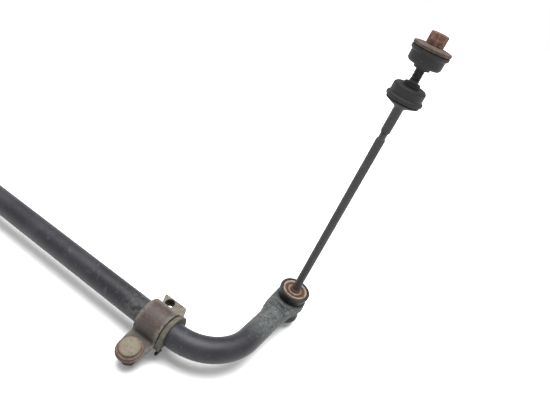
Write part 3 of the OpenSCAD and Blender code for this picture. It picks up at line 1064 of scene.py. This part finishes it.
def foot_pad(mesh, bracket, start):
    """The pierced rubber pad under the short foot."""
    hole = far_hole(bracket)
    top = -bracket.foot_drop - bracket.thickness - 0.2 * MM
    radius = bracket.hole / 2 + 0.5 * MM
    low, high = Vector((start, 15 * MM)), Vector((PAD_SIDE, PAD_END))
    count = 64
    rows = [[], [], [], []]
    for k in range(count):
        ray = Vector((math.cos(2 * math.pi * k / count), math.sin(2 * math.pi * k / count)))
        reach = min(
            ((high.x if ray.x > 0 else low.x) - hole.x) / ray.x if abs(ray.x) > 1e-6 else 1,
            ((high.y if ray.y > 0 else low.y) - hole.y) / ray.y if abs(ray.y) > 1e-6 else 1)
        outer = hole + ray * reach
        inner = hole + ray * radius
        corners = ((outer, top), (outer, BUSH_BASE), (inner, BUSH_BASE), (inner, top))
        for row, (spot, z) in zip(rows, corners):
            row.append(mesh.verts.new((spot.x, spot.y, z)))
    for a, b in zip(rows, [*rows[1:], rows[0]]):
        join_rows(mesh, a, b)


def nib(mesh, x):
    """The small T-shaped pull tab under the outer flange."""
    stem, bar = 1.8, 4.5
    outline = rounded(in_mm([
        (-stem, 1.0), (-stem, -4.2), (-bar, -4.3), (-bar, -6.8),
        (bar, -6.6), (bar, -4.4), (stem, -4.2), (stem, 1.0)]), 0.5 * MM, 2)
    centre = Vector((0, -3.5 * MM))
    place = Vector((NIB_Y, FLANGE_BASE))
    rows = []
    for offset, inset in ((-1.5, 0.3), (-1.2, 0), (1.2, 0), (1.5, 0.3)):
        rows.append([
            mesh.verts.new((x + offset * MM, *(p.lerp(centre, inset * 0.25) + place)))
            for p in outline])
    join_all(mesh, rows)
    mesh.faces.new(rows[0])
    mesh.faces.new(rows[-1])


def bushing_finish(settings):
    finish = Finish("frame_rubber", settings.rubber_colour, 0.88, specular=0.25)
    finish.layer(rgb(124, 118, 104), 0.45, 0.006, 0.12, seed=1.1, strength=0.8)
    finish.layer(rgb(74, 72, 66), 0.4, 0.004, 0.08, seed=4.2, strength=0.8)
    finish.layer(rgb(116, 92, 76), 0.2, 0.006, 0.08, seed=6.4, strength=0.6)
    inside = finish.outside(finish.along("X", 0.0155, 0.0178))
    finish.lay(inside, rgb(36, 34, 33), rough=0.8)
    below = finish.outside(finish.along("Z", -0.0128, -0.0112))
    finish.lay(below, rgb(34, 33, 33), rough=0.7)
    finish.relief(finish.noise(0.0018), 0.0002)
    finish.relief(finish.noise(0.007, detail=2), 0.0004)
    return finish.done()


class SWAY_OT_bushings(bpy.types.Operator):
    """Mould the two D-shaped rubber bushings with their flanges, slit and nib"""
    bl_idname = "sway.bushings"
    bl_label = "Frame Bushings"

    def execute(self, context):
        bar, bracket = context.scene.sway_bar, context.scene.sway_bracket
        material = bushing_finish(bracket)
        for side in SIDES:
            fit(side, "frame_rubber", bushing_mesh(bar, bracket), bracket_matrix(side, bracket),
                material, "bracket", "rubber", "frame_bushing", flip=side == "left")
        return {"FINISHED"}


# ---------------------------------------------------------------- fasteners

WASHER_THICKNESS = 2.4 * MM
HEAD_HEIGHT = 4.8 * MM
FLANGE_NUT_HEIGHT = 16.5 * MM
NUT_FLANGE = (11 * MM, 3 * MM)
BOLT_TIP = 5.6 * MM
THREAD_DEPTH = 0.75 * MM
CHAMFER_RATIO = 2.0
RUST_GRAIN = 0.0018
RUST_DEPTH = 0.00022


def thread_radius(height, angle, radius, pitch, depth):
    """Radius of a right-hand thread with slightly blunt crests."""
    phase = (height / pitch - angle / (2 * math.pi)) % 1
    flank = abs(phase * 2 - 1)
    return radius - depth * min(max(flank * 1.25 - 0.1, 0), 1)


def thread_heights(low, high, pitch):
    count = max(int((high - low) / pitch * 8), 2)
    return [mix(low, high, k / count) for k in range(count + 1)]


def hex_radius(angle, width):
    """Radius of a hexagon with softly rounded corners."""
    turn = (angle + math.pi / 6) % (math.pi / 3) - math.pi / 6
    flat = width / 2 / math.cos(turn)
    corner = width / 2 / math.cos(math.pi / 6)
    return flat - 0.35 * MM * smoothstep(flat / corner, 0.965, 1.0)


def nut_mesh(low, high, width, bore, pitch, flange=None):
    """A hexagon nut with chamfered ends and a threaded bore."""
    mesh = bmesh.new()
    steps = 96
    corner = width / 2 / math.cos(math.pi / 6)
    heights = [low + rise * MM for rise in (0, 0.15, 0.4, 0.8, 1.4)]
    upper = high if flange is None else high - flange[1]
    count = 6
    heights += [mix(low + 1.4 * MM, upper - 1.4 * MM, k / count) for k in range(1, count)]
    fall = (1.4, 0.8, 0.4, 0.15, 0) if flange is None else (1.4, 0.5, 0)
    heights += [upper - drop * MM for drop in fall]

    def outer(height, angle):
        ends = [height - low] + ([high - height] if flange is None else [])
        start = width / 2 - 0.25 * MM
        limit = start + min(ends) * CHAMFER_RATIO
        return min(hex_radius(angle, width), max(limit, start), corner)

    def inner(height, angle):
        return thread_radius(height, angle, bore, pitch, 0.3 * MM) + 0.35 * MM

    rows = [ring_row(mesh, height, outer, steps) for height in heights]
    if flange is not None:
        radius, tall = flange
        for inset, share in ((1.2, 0.75), (0.2, 0.6), (0, 0.4), (0, 0.1), (0.3, 0)):
            rows.append(circle_row(mesh, radius - inset * MM, high - share * tall, steps))
    mouth = 0.8 * MM
    rows.append(circle_row(mesh, bore + mouth, high, steps))
    for height in thread_heights(high - mouth, low + mouth, -pitch):
        rows.append(ring_row(mesh, height, inner, steps))
    rows.append(circle_row(mesh, bore + mouth, low, steps))
    join_all(mesh, [*rows, rows[0]])
    return mesh


def bolt_mesh(bolts, foot_top, thickness):
    """Round-headed bolt: a flattened dome, a plain shank and a threaded end."""
    mesh = bmesh.new()
    steps = 64
    seat = foot_top + WASHER_THICKNESS
    top = seat + HEAD_HEIGHT
    under = foot_top - thickness
    tip = under - FLANGE_NUT_HEIGHT - BOLT_TIP
    dome = ((0.35, 0.02), (0.62, 0.15), (0.8, 0.55), (0.93, 1.1), (0.985, 1.9), (1, 2.7))
    head = [(bolts.head * share, top - drop * MM) for share, drop in dome]
    head += [(bolts.head, seat + 1.1 * MM), (bolts.head - 0.3 * MM, seat + 0.4 * MM),
             (bolts.head - 1.0 * MM, seat), (bolts.shank / 2, seat)]
    rows = [[mesh.verts.new((0, 0, top))]]
    for radius, height in head:
        rows.append(circle_row(mesh, radius, height, steps))
        for vert in rows[-1]:
            vert.co.z += noise.noise(vert.co * 300) * 0.12 * MM

    def shank(height, angle):
        return thread_radius(height, angle, bolts.shank / 2, bolts.pitch, THREAD_DEPTH)

    for height in thread_heights(under, tip + 1.0 * MM, -bolts.pitch):
        rows.append(ring_row(mesh, height, shank, steps))
    rows.append(circle_row(mesh, bolts.shank / 2 - 1.2 * MM, tip, steps))
    rows.append([mesh.verts.new((0, 0, tip))])
    join_all(mesh, rows)
    return mesh


def rust_finish(name, base, tones):
    """Layered rust: each tone is a colour, how much it covers and its size."""
    finish = Finish(name, base, 0.8, 0.35)
    for i, (tone, cover, size) in enumerate(tones):
        finish.layer(tone, cover, size, 0.07, seed=2.3 * i + 1.1, strength=0.85)
    finish.relief(finish.noise(RUST_GRAIN), RUST_DEPTH)
    finish.relief(finish.noise(RUST_GRAIN * 5, detail=3), RUST_DEPTH * 1.6)
    return finish.done()


class SWAY_OT_fasteners(bpy.types.Operator):
    """Turn the bracket bolts, their washers and their flanged nuts"""
    bl_idname = "sway.fasteners"
    bl_label = "Bracket Fasteners"

    def execute(self, context):
        bracket, bolts = context.scene.sway_bracket, context.scene.sway_bolts
        head = rust_finish("bolt_mud", bolts.head_colour, [
            (rgb(140, 130, 112), 0.5, 0.006), (rgb(110, 102, 88), 0.36, 0.0022),
            (rgb(122, 98, 78), 0.1, 0.002)])
        washer = rust_finish("washer_rust", bolts.washer_colour, [
            (rgb(92, 66, 58), 0.45, 0.005), (rgb(130, 106, 94), 0.36, 0.003)])
        nut = rust_finish("nut_rust", bolts.nut_colour, [
            (rgb(46, 32, 30), 0.45, 0.006), (rgb(98, 62, 48), 0.3, 0.003)])
        foot_top = -bracket.foot_drop
        under = foot_top - bracket.thickness
        top = foot_top + WASHER_THICKNESS - CLEARANCE
        profile = rounded([
            (bracket.hole / 2, foot_top), (bolts.washer, foot_top),
            (bolts.washer, top), (bracket.hole / 2, top)], 0.5 * MM)
        for side in SIDES:
            place = bracket_matrix(side, bracket) @ Matrix.Translation(
                (0, -bracket.long_reach, 0))
            fit(side, "bolt", bolt_mesh(bolts, foot_top, bracket.thickness), place, head,
                "bracket", "bolt_steel", "bracket_bolt", even=False)
            fit(side, "bolt_washer", lathe(profile, wobble=0.05 * MM), place, washer,
                "bracket", "rusty_washer", "bracket_washer")
            mesh = nut_mesh(under - FLANGE_NUT_HEIGHT, under, bolts.nut,
                            bolts.shank / 2 + CLEARANCE, bolts.pitch, NUT_FLANGE)
            fit(side, "bolt_nut", mesh, place, nut,
                "bracket", "dark_nut", "bracket_nut", even=False, sharp=32)
        return {"FINISHED"}


# ---------------------------------------------------------------- end link

LOWER_THREAD = -8 * MM
UPPER_THREAD = 314 * MM
COLLAR = 7 * MM
LOW_COLLAR = (18.15 * MM, 21.35 * MM)
HIGH_COLLAR = (283.7 * MM, 286.3 * MM)
PINCH = (249.6 * MM, 254.4 * MM)
PINCH_WIDE, PINCH_THIN = 6.5 * MM, 3.9 * MM
THICKER = 0.2 * MM


def rod_mesh(link, pitch):
    """The long stud: threads at both ends, a pinched stop and two collars."""
    mesh = bmesh.new()
    radius = link.rod / 2
    low, high = -link.bottom, link.top
    plain = [17.8, 18.2, 18.3, 18.8, 20.0, 20.9, 21.0, 21.3, 21.4, 21.8, 30.0]
    plain += range(45, 240, 15)
    plain += [mix(244, 260, k / 20) for k in range(21)]
    plain += [264, 270, 276, 283.6, 283.8, 284.7, 285.6, 286.1, 286.2, 286.4, 290, 300]
    heights = [low, low + 0.6 * MM, *thread_heights(low + 1.2 * MM, LOWER_THREAD, pitch)]
    heights += [height * MM for height in plain]
    heights += thread_heights(UPPER_THREAD, high - 1.4 * MM, pitch)
    heights += [high - 0.7 * MM, high - 0.3 * MM]

    def radius_at(height, angle):
        size = radius
        if height < LOWER_THREAD:
            size = thread_radius(height, angle, radius, pitch, THREAD_DEPTH)
            size = min(size, radius - 1.2 * MM + (height - low))
        elif height > UPPER_THREAD:
            size = thread_radius(height, angle, radius, pitch, THREAD_DEPTH)
            size = min(size, radius - 1.3 * MM + (high - height) * 0.9)
        elif LOW_COLLAR[0] < height < LOW_COLLAR[1]:
            size = COLLAR - (0.4 * MM if height > 20.95 * MM else 0)
        elif HIGH_COLLAR[0] < height < HIGH_COLLAR[1]:
            size = mix(radius + THICKER, COLLAR, smoothstep(height, 283.6 * MM, 285.8 * MM))
        elif 252 * MM < height < 286.2 * MM:
            size = radius + THICKER
        pinch = bump_between(height, *PINCH, 3 * MM)
        if pinch > 0:
            flat = 1 / math.hypot(math.cos(angle) / PINCH_THIN, math.sin(angle) / PINCH_WIDE)
            size = mix(size, flat, pinch)
        return size

    steps = 64
    heights.sort()
    rows = [ring_row(mesh, height, radius_at, steps) for height in heights]
    ends = [[mesh.verts.new((0, 0, height))] for height in (heights[0], heights[-1])]
    join_all(mesh, [ends[0], *rows, ends[1]])
    return mesh


def cup_profile():
    """A pressed cup washer with a rolled rim, a groove and a flat boss."""
    return section([
        (5.4, -0.6), (9.4, -0.6), (10.2, -3.6), (12.4, -3.6), (13.6, -0.5), (16.3, 0.0),
        (16.3, -1.8), (14.0, -2.4), (12.8, -4.6), (10.0, -4.6), (9.0, -2.6), (5.4, -2.6)], 0.9)


def grommet_profile(cup, rim):
    """An eye grommet: a pilot in the eye, a bulged wall and a rim round the cup."""
    return section([
        (5.4, 1.0, 0.5), (9.2, 1.0, 0.8), (9.2, 6.05, 0.2), (17.0, 6.05, 1.2),
        (18.4, 8.0, 1.2), (18.4, rim - 8.5, 2.0), (20.2, rim - 5.2, 1.6),
        (20.2, rim - 0.4, 1.2), (17.6, rim, 1.0), (16.55, rim - 1.2, 0.5),
        (16.5, cup - 2.2, 0.4), (13.2, cup - 4.85, 0.5), (11.0, cup - 4.85, 0.4),
        (9.5, cup - 2.85, 0.4), (5.4, cup - 2.85, 0.3)], 0.5)


def flipped(profile):
    return [(radius, -height) for radius, height in profile]


def shifted(profile, lift):
    return [(radius, height + lift) for radius, height in profile]


# Heights along the link, in millimetres above the eye's centre
UPPER_CUP = 19.4
UPPER_RIM = 20.2
LOWER_CUP = 25.6
LOWER_RIM = 24.4
LOCKNUT = (-32.5, -25.0)
PERCH_BASE = 286.2
DISH_HEIGHT = 4.2
GROMMET_BASE = PERCH_BASE + DISH_HEIGHT + 2.2
GROMMET_HEIGHT = 15.2
LIP_HEIGHT = 3.6
LID_GAP = 0.2
LID_THICKNESS = 4.4
NUT_TURN = math.radians(-18)


def perch_profile(dish):
    """A perch grommet with its flange down and its pilot lip up."""
    return section([
        (5.4, -dish, 0.3), (8.6, -dish, 0.6), (17.6, -0.1, 0.5), (19.3, 0.6, 0.7),
        (19.3, 3.7, 0.8), (17.3, 4.7, 0.8), (17.2, 13.2, 0.8), (15.5, GROMMET_HEIGHT, 0.9),
        (8.6, GROMMET_HEIGHT, 0.4), (8.2, 18.6, 0.4), (5.4, 18.8, 0.4)], 0.5)


def rubber_finish(name, settings):
    finish = Finish(name, settings.rubber, 0.6, specular=0.3)
    finish.layer(rgb(44, 43, 44), 0.4, 0.008, 0.1, rough=0.75, seed=1.9, strength=0.5)
    up = finish.facing_up(0.2, 0.95)
    finish.layer(rgb(74, 68, 64), 0.5, 0.007, 0.12, rough=0.9, where=up, strength=0.4, seed=3.3)
    finish.layer(rgb(104, 102, 98), 0.1, 0.005, 0.03, rough=0.9, strength=0.5, seed=6.2)
    finish.relief(finish.noise(0.0016), 0.00012)
    finish.relief(finish.noise(0.008, detail=3), 0.0003)
    return finish


class SWAY_OT_rods(bpy.types.Operator):
    """Turn the two link rods with their threads, collars and pinched stop"""
    bl_idname = "sway.rods"
    bl_label = "Link Rods"

    def execute(self, context):
        link, bolts = context.scene.sway_link, context.scene.sway_bolts
        finish = Finish("rod_steel", link.steel, 0.55, specular=0.45)
        finish.layer(rgb(46, 44, 45), 0.45, 0.01, 0.1, rough=0.7, seed=1.2, strength=0.7,
                     stretch=(1, 1, 0.4))
        finish.layer(rgb(34, 32, 30), 0.4, 0.006, 0.05, seed=3.8, strength=0.7)
        finish.layer(rgb(92, 78, 62), 0.24, 0.004, 0.04, rough=0.85, seed=5.9, strength=0.6)
        root = finish.outside(finish.along("Z", 0.022, 0.034))
        finish.layer(rgb(98, 70, 52), 0.6, 0.006, 0.1, rough=0.85, where=root, seed=8.3,
                     strength=0.8)
        finish.relief(finish.noise(0.0015), 0.00018)
        material = finish.done()
        for side in SIDES:
            fit(side, "rod", rod_mesh(link, bolts.pitch), link_matrix(side), material,
                "link", "rod_steel", "link_rod", even=False)
        return {"FINISHED"}


class SWAY_OT_eye_packs(bpy.types.Operator):
    """Stack the cup washers, grommets and nut that hold each link in its eye"""
    bl_idname = "sway.eye_packs"
    bl_label = "Eye Packs"

    def execute(self, context):
        link, bolts = context.scene.sway_link, context.scene.sway_bolts
        cup = Finish("cup_rust", link.cup, 0.7, specular=0.45)
        cup.layer(rgb(158, 126, 108), 0.5, 0.007, 0.1, seed=1.4)
        cup.layer(rgb(164, 148, 112), 0.36, 0.01, 0.08, seed=3.4, strength=0.8)
        cup.layer(rgb(120, 80, 58), 0.36, 0.004, 0.06, rough=0.85, seed=5.1, strength=0.8)
        cup.lay(cup.math("MULTIPLY", cup.around(0.0093, 0.0104),
                         cup.outside(cup.around(0.0122, 0.0134))),
                rgb(70, 48, 40), rough=0.85, strength=0.85)
        # Pale patchy ring on the rolled outer rim: a painted highlight where the rim edge catches
        # the overhead light, laid over the rust.
        cup.layer(rgb(186, 172, 160), 0.5, 0.006, 0.1, where=cup.around(0.0138, 0.0150),
                  seed=7.7, strength=0.7)
        cup.relief(cup.noise(0.0014), 0.00018)
        cup_material = cup.done()
        # The lower cup is the same rusty cup as the upper one, coloured darker: painted shade under
        # the eye over the rust tones.
        shaded_cup_rust = rust_finish("cup_rust_painted_shade", rgb(84, 68, 56), [
            (rgb(56, 46, 42), 0.5, 0.006), (rgb(116, 86, 64), 0.3, 0.004)])
        nut = bpy.data.materials["nut_rust"]
        rubber = rubber_finish("eye_rubber", link).done()
        upper_cup = shifted(cup_profile(), UPPER_CUP * MM)
        lower_cup = flipped(shifted(cup_profile(), LOWER_CUP * MM))
        for side in SIDES:
            place = link_matrix(side)
            fit(side, "eye_cup_upper", lathe(upper_cup, link.turns, 0.06 * MM), place,
                cup_material, "link", "cup_steel", "eye_upper_washer")
            fit(side, "eye_cup_lower", lathe(lower_cup, link.turns, 0.06 * MM, 4), place,
                shaded_cup_rust, "link", "cup_steel", "eye_lower_washer")
            mesh = nut_mesh(LOCKNUT[0] * MM, LOCKNUT[1] * MM, bolts.nut,
                            link.rod / 2 + CLEARANCE, bolts.pitch)
            fit(side, "eye_locknut", mesh, place, nut, "link", "dark_nut", "eye_nut",
                even=False, sharp=32)

            for part, sign, profile in (
                    ("upper", 1, grommet_profile(UPPER_CUP, UPPER_RIM)),
                    ("lower", -1, flipped(grommet_profile(LOWER_CUP, LOWER_RIM)))):
                piece = add_piece(f"{side}_eye_grommet_{part}",
                                  lathe(profile, link.turns, 0.12 * MM, 7 * sign),
                                  place, rubber)
                weigh_normals(piece)
                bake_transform(piece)
                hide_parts(f"{side}_eye_{part}_bushing")
        return {"FINISHED"}


class SWAY_OT_perch_packs(bpy.types.Operator):
    """Stack the dished washers, grommets and top nut at the top of each link"""
    bl_idname = "sway.perch_packs"
    bl_label = "Perch Packs"

    def execute(self, context):
        link, bolts = context.scene.sway_link, context.scene.sway_bolts
        rubber = rubber_finish("perch_rubber", link).done()
        dish = rust_finish("dish_dark", rgb(40, 38, 38), [
            (rgb(30, 29, 29), 0.5, 0.006), (rgb(88, 84, 80), 0.22, 0.003)])
        lid = rust_finish("lid_rust", rgb(96, 80, 70), [
            (rgb(70, 58, 54), 0.45, 0.006), (rgb(116, 92, 92), 0.3, 0.004),
            (rgb(132, 104, 78), 0.22, 0.003)])
        copper = rust_finish("copper_rust", link.copper, [
            (rgb(92, 62, 50), 0.5, 0.006), (rgb(162, 122, 102), 0.34, 0.005),
            (rgb(176, 120, 76), 0.2, 0.004)])
        upper_z = GROMMET_BASE + 2 * (GROMMET_HEIGHT + LIP_HEIGHT) + link.gap / MM
        lid_z = upper_z + LID_GAP
        nut_z = (lid_z + LID_THICKNESS) * MM
        # (piece, profile, wobble, seed, material, body, slot, node) from the bottom up
        stack = (
            ("perch_dish", section([
                (5.4, 286.2), (8.6, 286.2), (17.8, 290.4), (17.8, 292.2), (8.6, 288.1),
                (5.4, 288.1)], 0.7),
             0.06, 0, dish, "link", "bracket_steel", "perch_lower_washer"),
            ("perch_grommet_lower", shifted(perch_profile(DISH_HEIGHT), GROMMET_BASE * MM),
             0.12, 3, rubber, "link", "rubber", "perch_lower_bushing"),
            ("perch_grommet_upper", flipped(shifted(perch_profile(0.0), -upper_z * MM)),
             0.12, 9, rubber, "clamp", "rubber", "perch_upper_bushing"),
            ("perch_lid", section([
                (5.4, lid_z + 1.4, 0.3), (8.6, lid_z + 1.4, 1.5), (19.3, lid_z, 0.6),
                (19.4, lid_z + 3.0, 0.9), (9.0, lid_z + 4.4, 2.0), (5.4, lid_z + 4.4, 0.5)], 0.5),
             0.08, 5, lid, "clamp", "rusty_washer", "perch_upper_washer"),
        )
        for side in SIDES:
            place = link_matrix(side)
            for name, profile, wobble, seed, material, body, slot, node in stack:
                fit(side, name, lathe(profile, link.turns, wobble * MM, seed), place,
                    material, body, slot, node)
            mesh = nut_mesh(nut_z, link.top, bolts.nut, link.rod / 2 + CLEARANCE, bolts.pitch)
            turn = Matrix.Rotation(NUT_TURN * mirror_of(side), 4, "Z")
            bmesh.ops.transform(mesh, matrix=turn, verts=mesh.verts)
            fit(side, "top_nut", mesh, place, copper, "nut", "copper_nut", "perch_nut",
                even=False, sharp=32)
        return {"FINISHED"}


# ---------------------------------------------------------------- stage

CAMERA_PLACE = (0.5539, -0.3012, 0.3880)
CAMERA_RIGHT = Vector((0.81568, 0.47903, 0.32434))
CAMERA_AHEAD = Vector((-0.28300, 0.81940, -0.49848))


class SWAY_OT_stage(bpy.types.Operator):
    """Lay the pale floor and set the soft studio light and the camera"""
    bl_idname = "sway.stage"
    bl_label = "Stage"

    def execute(self, context):
        scene = context.scene
        stage = scene.sway_stage
        low, _ = CAD_BOX
        mesh = bmesh.new()
        bmesh.ops.create_grid(mesh, x_segments=8, y_segments=8, size=20)
        finish = Finish("pale_floor", stage.floor, 0.9, specular=0.1)
        finish.layer((0.7, 0.7, 0.7), 0.5, 0.4, 0.2, strength=0.3)
        place = Matrix.Translation((0, 0, low[2] - CLEARANCE))
        floor = add_piece("studio_floor", mesh, place, finish.done())

        world = bpy.data.worlds.new("studio_air")
        world.use_nodes = True
        background = world.node_tree.nodes["Background"]
        background.inputs["Color"].default_value = (1, 1, 1, 1)
        background.inputs["Strength"].default_value = stage.fill
        scene.world = world

        lamp = bpy.data.lights.new("overhead_light", "SUN")
        lamp.energy = stage.key
        lamp.angle = stage.spread
        light = bpy.data.objects.new("overhead_light", lamp)
        scene.collection.objects.link(light)

        camera_data = bpy.data.cameras.new("studio_camera")
        camera_data.sensor_width = 36
        camera_data.lens = stage.lens
        camera_data.clip_start = 0.01
        camera_data.clip_end = 100
        camera = bpy.data.objects.new("studio_camera", camera_data)
        scene.collection.objects.link(camera)
        up = CAMERA_RIGHT.cross(CAMERA_AHEAD)
        camera.matrix_world = Matrix.Translation(CAMERA_PLACE) @ Matrix(
            (CAMERA_RIGHT, up, -CAMERA_AHEAD)).transposed().to_4x4()
        scene.camera = camera
        scene.view_settings.view_transform = "Standard"
        return {"FINISHED"}


class SWAY_PT_panel(bpy.types.Panel):
    """The pieces of the sway bar, in the order in which they are built"""
    bl_idname = "SWAY_PT_panel"
    bl_label = "Sway Bar"
    bl_space_type = "VIEW_3D"
    bl_region_type = "UI"
    bl_category = "Sway Bar"

    def draw(self, context):
        column = self.layout.column(align=True)
        for operator in OPERATORS:
            column.operator(operator.bl_idname)


SETTINGS = {
    "sway_bar": SwayBarSettings,
    "sway_bracket": SwayBracketSettings,
    "sway_bolts": SwayBoltSettings,
    "sway_link": SwayLinkSettings,
    "sway_stage": SwayStageSettings,
}
OPERATORS = (
    SWAY_OT_stage,
    SWAY_OT_bar,
    SWAY_OT_straps,
    SWAY_OT_bushings,
    SWAY_OT_fasteners,
    SWAY_OT_rods,
    SWAY_OT_eye_packs,
    SWAY_OT_perch_packs,
)


def register():
    for group in (*SETTINGS.values(), *OPERATORS, SWAY_PT_panel):
        bpy.utils.register_class(group)
    for name, group in SETTINGS.items():
        setattr(bpy.types.Scene, name, PointerProperty(type=group))


def unregister():
    for name in SETTINGS:
        delattr(bpy.types.Scene, name)
    for group in reversed((*SETTINGS.values(), *OPERATORS, SWAY_PT_panel)):
        bpy.utils.unregister_class(group)


def main():
    register()
    for operator in OPERATORS:
        group, action = operator.bl_idname.split(".")
        getattr(getattr(bpy.ops, group), action)()


if __name__ == "__main__":
    main()
